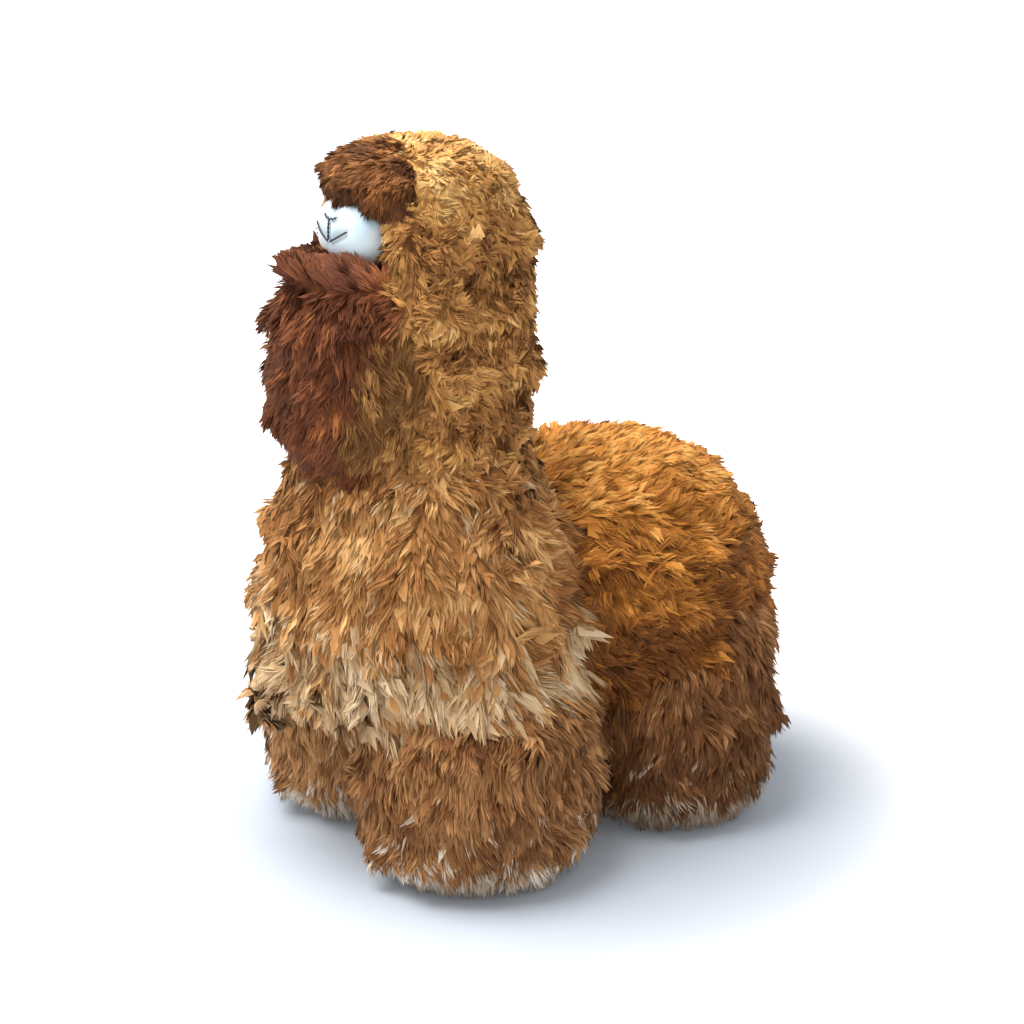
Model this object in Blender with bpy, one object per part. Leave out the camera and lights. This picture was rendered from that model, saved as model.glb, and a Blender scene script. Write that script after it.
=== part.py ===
"""A stuffed alpaca, sewn from patches of real alpaca fleece and standing on four stuffed legs.

The front of the animal looks along -Y, its left side is +X, and it stands on the plane Z = 0.
Every patch is a puffed, closed form whose outer surface is the tips of the pile, in rows of locks.
"""
import math

import bmesh
import bpy
from mathutils import Vector, noise

# Fit between patches
SEAM_GAP = 0.0003
THREAD_GAP = 0.0003

# Head and neck: one upright column of fleece
NECK_HALF_WIDTH = 0.0440
NECK_FRONT_REACH = 0.0265
NECK_REAR_REACH = 0.0460
NECK_AXIS_Y = -0.0500
NECK_SQUARENESS = 2.6
NECK_ROUNDNESS = 4.0
HEAD_TOP_Z = 0.2935
NECK_CENTRE_Z = 0.215
NECK_FOOT_DEPTH = 0.075

# Chest: a bell that flares from the neck to a hem above the front legs
CHEST_HALF_WIDTH = 0.0700
CHEST_HALF_DEPTH = 0.0620
CHEST_AXIS_Y = -0.049
CHEST_BELLY_Z = 0.0900
CHEST_RISE = 0.098
CHEST_DROP = 0.0400
CHEST_ROUNDNESS = 2.35

# Back: the loaf from the shoulders to the rump
BACK_HALF_WIDTH = 0.0700
BACK_CENTRE_Y = 0.039
BACK_CENTRE_Z = 0.0885
BACK_RISE = 0.0715
BACK_DROP = 0.044
BACK_FORWARD_REACH = 0.068
BACK_REAR_REACH = 0.0740
BACK_ROUNDNESS = 2.3

# Front legs: they press against each other on the middle plane
FRONT_LEG_X = 0.041
FRONT_LEG_Y = -0.0445
FRONT_LEG_HALF_WIDTH = 0.0465
FRONT_LEG_HALF_DEPTH = 0.0505
FRONT_LEG_RISE = 0.048
MIDDLE_GAP = 0.0004

# Rear legs
REAR_LEG_X = 0.0395
REAR_LEG_Y = 0.0545
REAR_LEG_HALF_WIDTH = 0.0370
REAR_LEG_HALF_DEPTH = 0.0445
REAR_LEG_RISE = 0.066

# Height of the thickest part of a leg, how far its form would reach below the floor, and how
# square it is seen from the side
LEG_CENTRE_Z = 0.044
LEG_DROP = 0.062
LEG_ROUNDNESS = 2.5

# Muzzle: a smooth, blunt pad of pale cloth on the front of the head
MUZZLE_HALF_WIDTH = 0.0190
MUZZLE_HALF_HEIGHT = 0.0130
MUZZLE_Z = 0.2595
MUZZLE_CENTRE_Y = -0.0720
MUZZLE_FORWARD_REACH = 0.0135
MUZZLE_BACK_REACH = 0.016
MUZZLE_SQUARENESS = 2.6

# Embroidery on the muzzle
THREAD_RADIUS = 0.0005
NOSE_TOP_HEIGHT = 0.0080
NOSE_HALF_WIDTH = 0.0046
NOSE_DIP = 0.0016
MOUTH_DEPTH = 0.0028
MOUTH_HALF_WIDTH = 0.0115
MOUTH_LIFT = 0.0055

# Forelock: the dark tuft that falls over the brow
FORELOCK_HALF_WIDTH = 0.0350
FORELOCK_Y = -0.0570
FORELOCK_Z = 0.2765
FORELOCK_FORWARD_REACH = 0.0255
FORELOCK_BACK_REACH = 0.021
FORELOCK_RISE = 0.017
FORELOCK_DROP = 0.019

# Throat: the red-brown ruff on the front of the neck
THROAT_HALF_WIDTH = 0.0370
THROAT_Y = -0.0710
THROAT_Z = 0.205
THROAT_FORWARD_REACH = 0.0365
THROAT_BACK_REACH = 0.0260
THROAT_RISE = 0.0435
THROAT_DROP = 0.042
THROAT_ROUNDNESS = 3.0

# Tail: a short tuft low on the rump
TAIL_HALF_WIDTH = 0.013
TAIL_HALF_DEPTH = 0.008
TAIL_HALF_HEIGHT = 0.018
TAIL_Z = 0.092
TAIL_SINK = 0.008

# Pile: how far the tip of a lock stands out, on the body, the legs, the head and the tail
BODY_LOCKS = 0.0075
LEG_LOCKS = 0.0058
HEAD_LOCKS = 0.0046
TAIL_LOCKS = 0.0025
# How far a lock droops and how deep a parting is, as shares of that
LOCK_DROOP = 0.28
PARTING_SHARE = 0.15
# How much of its height the pile keeps where the form faces straight up or straight down
LEVEL_SHARE = 0.3
# How uneven the locks are, the size of a patch of like locks, and how wavy a row is
LOCK_UNEVENNESS = 0.6
LOCK_PATCH = 0.022
ROW_WAVE = 0.5
# How far the roots of a row hide under the row above, as a share of the row
ROOT_LIFT = 0.58

# Smoothness of the meshes: segments round, which are even, and rings from pole to pole
BODY_MESH = (36, 20)
NECK_MESH = (26, 20)
THROAT_MESH = (22, 14)
FORELOCK_MESH = (22, 12)
LEG_MESH = (24, 14)
MUZZLE_MESH = (18, 12)
TAIL_MESH = (12, 8)
SHARP_ANGLE = math.radians(50)

FLEECE_ROUGHNESS = 0.95
CLOTH_ROUGHNESS = 0.85
THREAD_ROUGHNESS = 0.6

parts = bpy.data.collections.new("stuffed_alpaca")
cutters = bpy.data.collections.new("cutters")


def clear_scene():
    for thing in list(bpy.data.objects):
        bpy.data.objects.remove(thing, do_unlink=True)
    bpy.context.scene.collection.children.link(parts)
    bpy.context.scene.collection.children.link(cutters)


def make_material(name, colour, roughness):
    material = bpy.data.materials.new(name)
    material.use_nodes = True
    shader = material.node_tree.nodes["Principled BSDF"]
    shader.inputs["Base Color"].default_value = (*colour, 1.0)
    shader.inputs["Roughness"].default_value = roughness
    shader.inputs["Metallic"].default_value = 0.0
    return material


def lay_rows(bm, segments, rings):
    """Sets the pile in rows on a sphere: every second ring moves up under the row of tips above it.

    Gives the points on the rows of tips, each with how far it stands out: 1 at the tip of a lock,
    and less in the parting between two locks. Each row is shifted by half a lock to the next.
    """
    step = math.pi / rings
    tips = {}
    for v in bm.verts:
        ring = round(math.acos(max(-1.0, min(1.0, v.co.z))) / step)
        place = round(math.atan2(v.co.y, v.co.x) * segments / math.tau)
        if ring in (0, rings):
            continue
        row = (ring + 1) // 2
        wave = ROW_WAVE * noise.noise(Vector((2 * v.co.x, 2 * v.co.y, row)))
        angle = step * (ring + wave - (0.0 if ring % 2 else ROOT_LIFT))
        widen = math.sin(angle) / math.hypot(v.co.x, v.co.y)
        v.co = (v.co.x * widen, v.co.y * widen, math.cos(angle))
        if ring % 2:
            tips[v] = 1.0 if (place + row) % 2 else PARTING_SHARE
    return tips


def raise_locks(bm, tips, height):
    """Lifts the lock tips out of the form and lets them droop, as combed pile does."""
    bm.normal_update()
    down = Vector((0.0, 0.0, -LOCK_DROOP))
    for v, share in tips.items():
        unevenness = 1.0 + LOCK_UNEVENNESS * noise.noise(v.co / LOCK_PATCH)
        lean = min(1.0, LEVEL_SHARE + (1.0 - LEVEL_SHARE) * 2.0 * (1.0 - abs(v.normal.z)))
        tips[v] = (v.normal + down * share) * height * share * unevenness * lean
    for v, move in tips.items():
        v.co += move


def puffed(
    name, centre, reach, fineness, roundness=2.0, squareness=2.0, locks=0.0, floor=None, wall=None
):
    """A stuffed form: a sphere pulled out to its own reach on each side of its centre.

    reach is (side, front, back, up, down). fineness is (segments round, rings from pole to pole).
    roundness above 2 gives a squarer form seen from the side, and squareness above 2 seen from
    above. locks is how far the locks of the pile stand out, and 0 gives a smooth form. floor
    flattens the form where it stands, and wall flattens it on the side of the middle plane: +1
    keeps it on the left of the animal, -1 on the right.
    """
    side, front, back, up, down = reach
    bm = bmesh.new()
    bmesh.ops.create_uvsphere(bm, u_segments=fineness[0], v_segments=fineness[1], radius=1.0)
    tips = lay_rows(bm, *fineness) if locks else {}
    for v in bm.verts:
        level = math.hypot(v.co.x, v.co.y)
        if level > 0.0:
            widen = level * (abs(v.co.x) ** squareness + abs(v.co.y) ** squareness) ** (-1.0 / squareness)
            v.co.x *= widen
            v.co.y *= widen
        size = (level ** roundness + abs(v.co.z) ** roundness) ** (-1.0 / roundness)
        v.co *= size
        v.co.x *= side
        v.co.y *= front if v.co.y < 0 else back
        v.co.z *= up if v.co.z > 0 else down
        v.co += Vector(centre)
    raise_locks(bm, tips, locks)
    for v in bm.verts:
        if floor is not None:
            v.co.z = max(v.co.z, floor)
        if wall:
            v.co.x = wall * max(wall * v.co.x, MIDDLE_GAP / 2)
    bmesh.ops.triangulate(bm, faces=bm.faces[:])
    mesh = bpy.data.meshes.new(name)
    bm.to_mesh(mesh)
    bm.free()
    piece = bpy.data.objects.new(name, mesh)
    parts.objects.link(piece)
    return piece


def clearance_of(piece, gap):
    """A cutter one seam gap larger than the piece all round."""
    cutter = piece.copy()
    cutter.data = piece.data.copy()
    cutter.name = piece.name + "_clearance"
    swell = cutter.modifiers.new("seam gap", "DISPLACE")
    swell.mid_level = 0.0
    swell.strength = gap
    cutter.hide_render = True
    cutter.display_type = "WIRE"
    return cutter


def largest_shell(mesh):
    """Keeps the largest connected shell, so that a cut leaves no crumbs."""
    bm = bmesh.new()
    bm.from_mesh(mesh)
    unseen = set(bm.verts)
    shells = []
    while unseen:
        shell = set()
        front = [unseen.pop()]
        while front:
            v = front.pop()
            shell.add(v)
            for edge in v.link_edges:
                other = edge.other_vert(v)
                if other in unseen:
                    unseen.remove(other)
                    front.append(other)
        shells.append(shell)
    keep = max(shells, key=len)
    crumbs = [v for v in bm.verts if v not in keep]
    bmesh.ops.delete(bm, geom=crumbs, context="VERTS")
    bm.to_mesh(mesh)
    bm.free()


def make_room(piece, *neighbours):
    """Cuts a seat for the neighbours into the piece, with the seam gap between them."""
    seat = bpy.data.collections.new("seats in " + piece.name)
    cutters.children.link(seat)
    for neighbour in neighbours:
        seat.objects.link(clearance_of(neighbour, SEAM_GAP))
    cut = piece.modifiers.new("seats", "BOOLEAN")
    cut.operation = "DIFFERENCE"
    cut.solver = "EXACT"
    cut.operand_type = "COLLECTION"
    cut.collection = seat
    graph = bpy.context.evaluated_depsgraph_get()
    mesh = bpy.data.meshes.new_from_object(piece.evaluated_get(graph))
    piece.modifiers.clear()
    piece.data = mesh
    largest_shell(mesh)


def on_muzzle(x, height):
    """The point of a thread that lies on the front of the muzzle, at x and height above its centre."""
    lift = THREAD_RADIUS + THREAD_GAP
    side = MUZZLE_HALF_WIDTH + lift
    up = MUZZLE_HALF_HEIGHT + lift
    reach = MUZZLE_FORWARD_REACH + lift
    square = MUZZLE_SQUARENESS
    bulge = max(0.0, 1.0 - abs(x / side) ** square - abs(height / up) ** square)
    return Vector((x, MUZZLE_CENTRE_Y - reach * bulge ** (1.0 / square), MUZZLE_Z + height))


def thread(name, places, material):
    """One embroidered line: a smooth round thread through places on the muzzle."""
    curve = bpy.data.curves.new(name, "CURVE")
    curve.dimensions = "3D"
    curve.bevel_depth = THREAD_RADIUS
    curve.bevel_resolution = 1
    curve.use_fill_caps = True
    line = curve.splines.new("POLY")
    line.points.add(len(places) - 1)
    for point, (x, height) in zip(line.points, places):
        point.co = (*on_muzzle(x, height), 1.0)
    curve.materials.append(material)
    piece = bpy.data.objects.new(name, curve)
    parts.objects.link(piece)
    return piece


def arc_places(start, end, dip, count=7):
    """Places along a shallow arc from start to end that dips below the straight line."""
    places = []
    for i in range(count):
        share = i / (count - 1)
        x = start[0] + (end[0] - start[0]) * share
        height = start[1] + (end[1] - start[1]) * share - dip * math.sin(math.pi * share)
        places.append((x, height))
    return places


clear_scene()

golden = make_material("golden_fleece", (0.45, 0.24, 0.09), FLEECE_ROUGHNESS)
orange = make_material("orange_fleece", (0.46, 0.19, 0.045), FLEECE_ROUGHNESS)
olive = make_material("neck_fleece", (0.40, 0.24, 0.10), FLEECE_ROUGHNESS)
auburn = make_material("auburn_fleece", (0.22, 0.075, 0.03), FLEECE_ROUGHNESS)
umber = make_material("umber_fleece", (0.20, 0.09, 0.035), FLEECE_ROUGHNESS)
brown = make_material("leg_fleece", (0.30, 0.16, 0.08), FLEECE_ROUGHNESS)
pale_cloth = make_material("muzzle_cloth", (0.72, 0.82, 0.88), CLOTH_ROUGHNESS)
dark_thread = make_material("thread", (0.02, 0.025, 0.035), THREAD_ROUGHNESS)

# The muzzle is whole, and the fleece round it makes room for it
muzzle = puffed(
    "muzzle",
    (0.0, MUZZLE_CENTRE_Y, MUZZLE_Z),
    (MUZZLE_HALF_WIDTH, MUZZLE_FORWARD_REACH, MUZZLE_BACK_REACH, MUZZLE_HALF_HEIGHT, MUZZLE_HALF_HEIGHT),
    MUZZLE_MESH,
    roundness=MUZZLE_SQUARENESS,
    squareness=MUZZLE_SQUARENESS,
)
muzzle.data.materials.append(pale_cloth)

nose_foot = NOSE_TOP_HEIGHT - NOSE_DIP
nose_line = [(0.0, nose_foot - (nose_foot + MOUTH_DEPTH - 2 * THREAD_RADIUS) * i / 6) for i in range(7)]
thread("nose_line", nose_line, dark_thread)
for side, name in ((1, "left"), (-1, "right")):
    inner = 3 * THREAD_RADIUS + THREAD_GAP
    nostril = arc_places((side * inner, nose_foot), (side * NOSE_HALF_WIDTH, NOSE_TOP_HEIGHT), NOSE_DIP / 3)
    thread("nostril_" + name, nostril, dark_thread)
    smile = arc_places(
        (side * inner, -MOUTH_DEPTH), (side * MOUTH_HALF_WIDTH, MOUTH_LIFT - MOUTH_DEPTH), MOUTH_LIFT / 8
    )
    thread("mouth_" + name, smile, dark_thread)

# Forelock and throat ruff close over the rim of the muzzle
forelock = puffed(
    "forelock",
    (0.0, FORELOCK_Y, FORELOCK_Z),
    (FORELOCK_HALF_WIDTH, FORELOCK_FORWARD_REACH, FORELOCK_BACK_REACH, FORELOCK_RISE, FORELOCK_DROP),
    FORELOCK_MESH,
    locks=HEAD_LOCKS,
)
forelock.data.materials.append(umber)

throat = puffed(
    "throat_ruff",
    (0.0, THROAT_Y, THROAT_Z),
    (THROAT_HALF_WIDTH, THROAT_FORWARD_REACH, THROAT_BACK_REACH, THROAT_RISE, THROAT_DROP),
    THROAT_MESH,
    roundness=THROAT_ROUNDNESS,
    locks=LEG_LOCKS,
)
throat.data.materials.append(auburn)

chest = puffed(
    "chest_pelt",
    (0.0, CHEST_AXIS_Y, CHEST_BELLY_Z),
    (CHEST_HALF_WIDTH, CHEST_HALF_DEPTH, CHEST_HALF_DEPTH, CHEST_RISE, CHEST_DROP),
    BODY_MESH,
    roundness=CHEST_ROUNDNESS,
    locks=BODY_LOCKS,
)
chest.data.materials.append(golden)

neck = puffed(
    "neck_pelt",
    (0.0, NECK_AXIS_Y, NECK_CENTRE_Z),
    (NECK_HALF_WIDTH, NECK_FRONT_REACH, NECK_REAR_REACH, HEAD_TOP_Z - NECK_CENTRE_Z, NECK_FOOT_DEPTH),
    NECK_MESH,
    roundness=NECK_ROUNDNESS,
    squareness=NECK_SQUARENESS,
    locks=HEAD_LOCKS,
)
neck.data.materials.append(olive)

back = puffed(
    "back_pelt",
    (0.0, BACK_CENTRE_Y, BACK_CENTRE_Z),
    (BACK_HALF_WIDTH, BACK_FORWARD_REACH, BACK_REAR_REACH, BACK_RISE, BACK_DROP),
    BODY_MESH,
    roundness=BACK_ROUNDNESS,
    locks=BODY_LOCKS,
)
back.data.materials.append(orange)

tail = puffed(
    "tail",
    (0.0, BACK_CENTRE_Y + BACK_REAR_REACH + TAIL_HALF_DEPTH - TAIL_SINK, TAIL_Z),
    (TAIL_HALF_WIDTH, TAIL_HALF_DEPTH, TAIL_HALF_DEPTH, TAIL_HALF_HEIGHT, TAIL_HALF_HEIGHT),
    TAIL_MESH,
    locks=TAIL_LOCKS,
)
tail.data.materials.append(brown)

leg_pairs = []
for side, name in ((1, "left"), (-1, "right")):
    front_leg = puffed(
        "leg_front_" + name,
        (side * FRONT_LEG_X, FRONT_LEG_Y, LEG_CENTRE_Z),
        (FRONT_LEG_HALF_WIDTH, FRONT_LEG_HALF_DEPTH, FRONT_LEG_HALF_DEPTH, FRONT_LEG_RISE, LEG_DROP),
        LEG_MESH,
        roundness=LEG_ROUNDNESS,
        locks=LEG_LOCKS,
        floor=0.0,
        wall=side,
    )
    rear_leg = puffed(
        "leg_rear_" + name,
        (side * REAR_LEG_X, REAR_LEG_Y, LEG_CENTRE_Z),
        (REAR_LEG_HALF_WIDTH, REAR_LEG_HALF_DEPTH, REAR_LEG_HALF_DEPTH, REAR_LEG_RISE, LEG_DROP),
        LEG_MESH,
        roundness=LEG_ROUNDNESS,
        locks=LEG_LOCKS,
        floor=0.0,
        wall=side,
    )
    for leg in (front_leg, rear_leg):
        leg.data.materials.append(brown)
    leg_pairs.append((front_leg, rear_leg))

# Seats, each cut by the whole form of the neighbour that lies in it
for front_leg, rear_leg in leg_pairs:
    make_room(rear_leg, chest, back, front_leg)
    make_room(front_leg, chest, back)
make_room(back, chest, neck, tail)
make_room(neck, chest, forelock, throat, muzzle)
make_room(chest, throat)
make_room(forelock, muzzle)
make_room(throat, muzzle)

for piece in parts.objects:
    if piece.type == "MESH":
        piece.data.shade_smooth()
        piece.data.set_sharp_from_angle(angle=SHARP_ANGLE)
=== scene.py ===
"""The looks of a stuffed alpaca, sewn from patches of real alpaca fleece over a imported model.

The front of the animal looks along -Y, its left side is +X, and it stands on the plane Z = 0.
"""

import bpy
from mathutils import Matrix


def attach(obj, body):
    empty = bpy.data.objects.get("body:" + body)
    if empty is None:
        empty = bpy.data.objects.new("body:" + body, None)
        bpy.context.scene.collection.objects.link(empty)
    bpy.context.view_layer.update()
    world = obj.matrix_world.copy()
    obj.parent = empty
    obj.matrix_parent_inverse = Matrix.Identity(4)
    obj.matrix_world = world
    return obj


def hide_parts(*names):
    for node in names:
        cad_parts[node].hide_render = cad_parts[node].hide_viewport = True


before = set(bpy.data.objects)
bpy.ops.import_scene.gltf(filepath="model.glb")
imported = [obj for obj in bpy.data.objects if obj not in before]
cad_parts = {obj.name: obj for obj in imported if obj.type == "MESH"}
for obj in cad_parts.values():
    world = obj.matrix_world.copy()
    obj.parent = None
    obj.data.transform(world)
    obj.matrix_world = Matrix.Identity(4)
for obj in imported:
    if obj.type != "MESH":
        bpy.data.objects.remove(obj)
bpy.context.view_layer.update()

import math

import bmesh
import bpy
import numpy as np
from mathutils import Vector, kdtree
from mathutils.bvhtree import BVHTree

# Muzzle: a small pad of pale velvety cloth, stuffed firm and sewn into the front of the head.
# The stitches of the nose and the mouth pull shallow grooves into it, and the fleece round it
# closes over its rim.
MUZZLE_SIZE = Vector((0.0190, 0.0135, 0.0130))
MUZZLE_CENTRE = Vector((0.0, -0.0720, 0.2595))
MUZZLE_BACK = 0.016
MUZZLE_SQUARENESS = 2.7
STITCH_GROOVE = 0.0007
GROOVE_WIDTH = 0.0016
NOSE_TOP = 0.0064
NOSE_TO_MOUTH = 0.0006
NOSTRIL_END = Vector((0.0046, 0.0074))
NOSTRIL_SAG = 0.0005
MOUTH_Z = -0.0025
MOUTH_END = Vector((0.0118, 0.0030))
MOUTH_SAG = 0.0003
LINE_START_X = 0.0009
CLOTH_SHADED = (0.56, 0.74, 0.86, 1.0)
CLOTH_PALE = (0.78, 0.84, 0.88, 1.0)


def front_of_muzzle(x, height, lift=0.0):
    """The point on the front of the muzzle at x and height from its centre, lifted off the cloth."""
    wide = abs(x) / (MUZZLE_SIZE.x + lift)
    tall = abs(height) / (MUZZLE_SIZE.z + lift)
    bulge = 1.0 - wide ** MUZZLE_SQUARENESS - tall ** MUZZLE_SQUARENESS
    depth = (MUZZLE_SIZE.y + lift) * max(0.0, bulge) ** (1.0 / MUZZLE_SQUARENESS)
    return MUZZLE_CENTRE + Vector((x, -depth, height))


def embroidered_line(start, end, sag, count=24):
    """Places (x, height) on the muzzle, along an arc from start to end that sags below it."""
    line = []
    for i in range(count + 1):
        share = i / count
        place = Vector(start).lerp(Vector(end), share)
        line.append((place.x, place.y - sag * math.sin(math.pi * share)))
    return line


stitches = {"nose_line": embroidered_line((0.0, NOSE_TOP), (0.0, MOUTH_Z + NOSE_TO_MOUTH), 0.0)}
for side, name in ((1, "left"), (-1, "right")):
    stitches["nostril_" + name] = embroidered_line(
        (side * LINE_START_X, NOSE_TOP), (side * NOSTRIL_END.x, NOSTRIL_END.y), NOSTRIL_SAG
    )
    stitches["mouth_" + name] = embroidered_line(
        (side * LINE_START_X, MOUTH_Z), (side * MOUTH_END.x, MOUTH_END.y), MOUTH_SAG
    )
stitch_points = [front_of_muzzle(x, height) for line in stitches.values() for x, height in line]
stitch_tree = kdtree.KDTree(len(stitch_points))
for i, point in enumerate(stitch_points):
    stitch_tree.insert(point, i)
stitch_tree.balance()

bm = bmesh.new()
bmesh.ops.create_uvsphere(bm, u_segments=96, v_segments=64, radius=1.0)
for v in bm.verts:
    outward = v.co.copy()
    v.co /= sum(abs(reach) ** MUZZLE_SQUARENESS for reach in v.co) ** (1.0 / MUZZLE_SQUARENESS)
    depth = MUZZLE_SIZE.y if v.co.y < 0 else MUZZLE_BACK
    v.co = MUZZLE_CENTRE + Vector((v.co.x * MUZZLE_SIZE.x, v.co.y * depth, v.co.z * MUZZLE_SIZE.z))
    distance = stitch_tree.find(v.co)[2]
    v.co -= outward * STITCH_GROOVE * math.exp(-((distance / GROOVE_WIDTH) ** 2))
muzzle_mesh = bpy.data.meshes.new("muzzle_pad")
bm.to_mesh(muzzle_mesh)
bm.free()
muzzle_mesh.shade_smooth()
muzzle = bpy.data.objects.new("muzzle_pad", muzzle_mesh)
bpy.context.scene.collection.objects.link(muzzle)

cloth = bpy.data.materials.new("velvety_cloth")
cloth.use_nodes = True
nodes, links = cloth.node_tree.nodes, cloth.node_tree.links
shader = nodes["Principled BSDF"]
shader.inputs["Sheen Weight"].default_value = 0.5
shader.inputs["Sheen Roughness"].default_value = 0.4
place = nodes.new("ShaderNodeTexCoord")
nap = nodes.new("ShaderNodeTexNoise")
nap.inputs["Scale"].default_value = 1400.0
nap.inputs["Detail"].default_value = 3.0
wash = nodes.new("ShaderNodeTexNoise")
wash.inputs["Scale"].default_value = 90.0
tint = nodes.new("ShaderNodeValToRGB")
tint.color_ramp.elements[0].position = 0.3
tint.color_ramp.elements[0].color = CLOTH_SHADED
tint.color_ramp.elements[1].position = 0.75
tint.color_ramp.elements[1].color = CLOTH_PALE
rough = nodes.new("ShaderNodeMapRange")
rough.inputs["To Min"].default_value = 0.75
rough.inputs["To Max"].default_value = 0.95
bump = nodes.new("ShaderNodeBump")
bump.inputs["Strength"].default_value = 0.35
bump.inputs["Distance"].default_value = 0.0003
links.new(place.outputs["Object"], nap.inputs["Vector"])
links.new(place.outputs["Object"], wash.inputs["Vector"])
links.new(wash.outputs["Fac"], tint.inputs["Fac"])
links.new(tint.outputs["Color"], shader.inputs["Base Color"])
links.new(nap.outputs["Fac"], rough.inputs["Value"])
links.new(rough.outputs["Result"], shader.inputs["Roughness"])
links.new(nap.outputs["Fac"], bump.inputs["Height"])
links.new(bump.outputs["Normal"], shader.inputs["Normal"])
muzzle_mesh.materials.append(cloth)
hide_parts("muzzle")
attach(muzzle, "root")

# Embroidery: the nose and the mouth are lines of dark thread, each two plies twisted together
# and pulled tight over the cloth, so that a line lies half sunk in its groove.
PLY_RADIUS = 0.00028
PLY_OFFSET = 0.00020
THREAD_TWIST = 0.0032
THREAD_SINK = 0.0001
THREAD_DARK = (0.008, 0.011, 0.020, 1.0)
THREAD_LIGHT = (0.030, 0.038, 0.060, 1.0)

thread_finish = bpy.data.materials.new("embroidery_thread")
thread_finish.use_nodes = True
nodes, links = thread_finish.node_tree.nodes, thread_finish.node_tree.links
shader = nodes["Principled BSDF"]
shader.inputs["Sheen Weight"].default_value = 0.2
place = nodes.new("ShaderNodeTexCoord")
fibres = nodes.new("ShaderNodeTexNoise")
fibres.inputs["Scale"].default_value = 2500.0
shade = nodes.new("ShaderNodeValToRGB")
shade.color_ramp.elements[0].color = THREAD_DARK
shade.color_ramp.elements[1].color = THREAD_LIGHT
rough = nodes.new("ShaderNodeMapRange")
rough.inputs["To Min"].default_value = 0.45
rough.inputs["To Max"].default_value = 0.7
links.new(place.outputs["Object"], fibres.inputs["Vector"])
links.new(fibres.outputs["Fac"], shade.inputs["Fac"])
links.new(shade.outputs["Color"], shader.inputs["Base Color"])
links.new(fibres.outputs["Fac"], rough.inputs["Value"])
links.new(rough.outputs["Result"], shader.inputs["Roughness"])


def add_ply(bm, path, turn, sides=8):
    """One ply: a closed round tube that winds about the path, starting at an angle of turn."""
    rings = []
    length = 0.0
    for i, point in enumerate(path):
        ahead = (path[min(i + 1, len(path) - 1)] - path[max(i - 1, 0)]).normalized()
        across = ahead.cross(Vector((0.0, -1.0, 0.0))).normalized()
        upward = across.cross(ahead)
        if i:
            length += (point - path[i - 1]).length
        angle = turn + math.tau * length / THREAD_TWIST
        middle = point + (across * math.cos(angle) + upward * math.sin(angle)) * PLY_OFFSET
        ring = []
        for k in range(sides):
            around = math.tau * k / sides
            outward = across * math.cos(around) + upward * math.sin(around)
            ring.append(bm.verts.new(middle + outward * PLY_RADIUS))
        rings.append(ring)
    for a, b in zip(rings, rings[1:]):
        for k in range(sides):
            bm.faces.new((a[k], a[(k + 1) % sides], b[(k + 1) % sides], b[k]))
    bm.faces.new(rings[0][::-1])
    bm.faces.new(rings[-1])


for name, line in stitches.items():
    path = [front_of_muzzle(x, height, PLY_RADIUS - THREAD_SINK) for x, height in line]
    bm = bmesh.new()
    add_ply(bm, path, 0.0)
    add_ply(bm, path, math.pi)
    bmesh.ops.recalc_face_normals(bm, faces=bm.faces[:])
    mesh = bpy.data.meshes.new(name + "_thread")
    bm.to_mesh(mesh)
    bm.free()
    mesh.shade_smooth()
    mesh.materials.append(thread_finish)
    piece = bpy.data.objects.new(name + "_thread", mesh)
    bpy.context.scene.collection.objects.link(piece)
    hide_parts(name)
    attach(piece, "root")

# Forelock: a patch of dense, short, dark umber pile over the brow, clipped smooth.
# Like every patch it is a leather hide with the fibres rooted in it. The hides are cut to one
# form, so that they meet at the seams, and the stuffing swells them between the partings.
VOXEL = 0.0027
FORM_SMOOTHING = 8
FORM_SOFTNESS = 0.5
DEPTH_ROUNDS = 6
SEAM_ROUNDS = 3
# Below this height the form is the sole, which is flat and carries no fibres
SOLE_Z = 0.006
# No fibres are rooted where the form, shrunk to this share, lies inside the muzzle
MUZZLE_CLEAR = 0.90
# How much the two edges of a fibre differ in tone from its middle
STREAK = 0.07
# The furthest that a fibre stands off the form, beside the swell of its tuft
STAND_OFF = 0.008
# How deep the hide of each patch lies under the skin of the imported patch
PATCHES = {
    "forelock": 0.0028,
    "throat_ruff": 0.0042,
    "neck_pelt": 0.0036,
    "chest_pelt": 0.0050,
    "back_pelt": 0.0050,
    "tail": 0.0025,
    "leg_front_left": 0.0046,
    "leg_front_right": 0.0046,
    "leg_rear_left": 0.0046,
    "leg_rear_right": 0.0046,
}
RIPPLE_WAVES = 9
RIPPLE_SIZES = (0.7, 1.5)
PARTING_STEEPNESS = 1.6
TUFT_HEIGHTS = (0.5, 1.2)
TUFT_ROUNDNESS = 0.8
COMBED_TO_SWELL = 0.35
SWIRL_LIMIT = 1.2
# Locks differ from each other in length and in lean, and bend by this angle at the least
LENGTH_VARIATION = 0.12
ROOT_LEAN_VARIATION = 0.10
TIP_LEAN_VARIATION = 0.12
LEAST_BEND = 0.2
LEAN_MARGIN = 0.15
# Where a hem turns under, locks are clipped by this share of their length
UNDER_START = 0.3
UNDER_RANGE = 0.4
UNDER_CLIP = 0.7
# Fibres differ from the lock in length and in the place of their bend, and a few stray from it
FIBRE_REACH = (0.70, 1.12)
BEND_AT = (0.40, 0.65)
DRAW_GROWTH = 1.3
STRAY_DRAW = -0.3
STRAY_LOOSENESS = 1.6
FLOOR_CLEARANCE = 0.0004
LOCK_CHANCE = 0.6
BLADE_WIDTHS = (0.6, 1.4)
ROUND_ACROSS_LOCK = 0.20
ROUND_ALONG_LOCK = 0.15
ROUND_ACROSS_BLADE = 0.3
CHART_MARGIN = 0.02
# The undercoat on the hide, from the partings to the middle of a tuft, between root and tip: it sits
# low on the ramp from root to tip, so it takes painted shade, most in the partings
UNDERCOAT_SHADE_LOW = 0.38
UNDERCOAT_SHADE_RISE = 0.25
UNDERCOAT_VARIATION = 0.04


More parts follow.
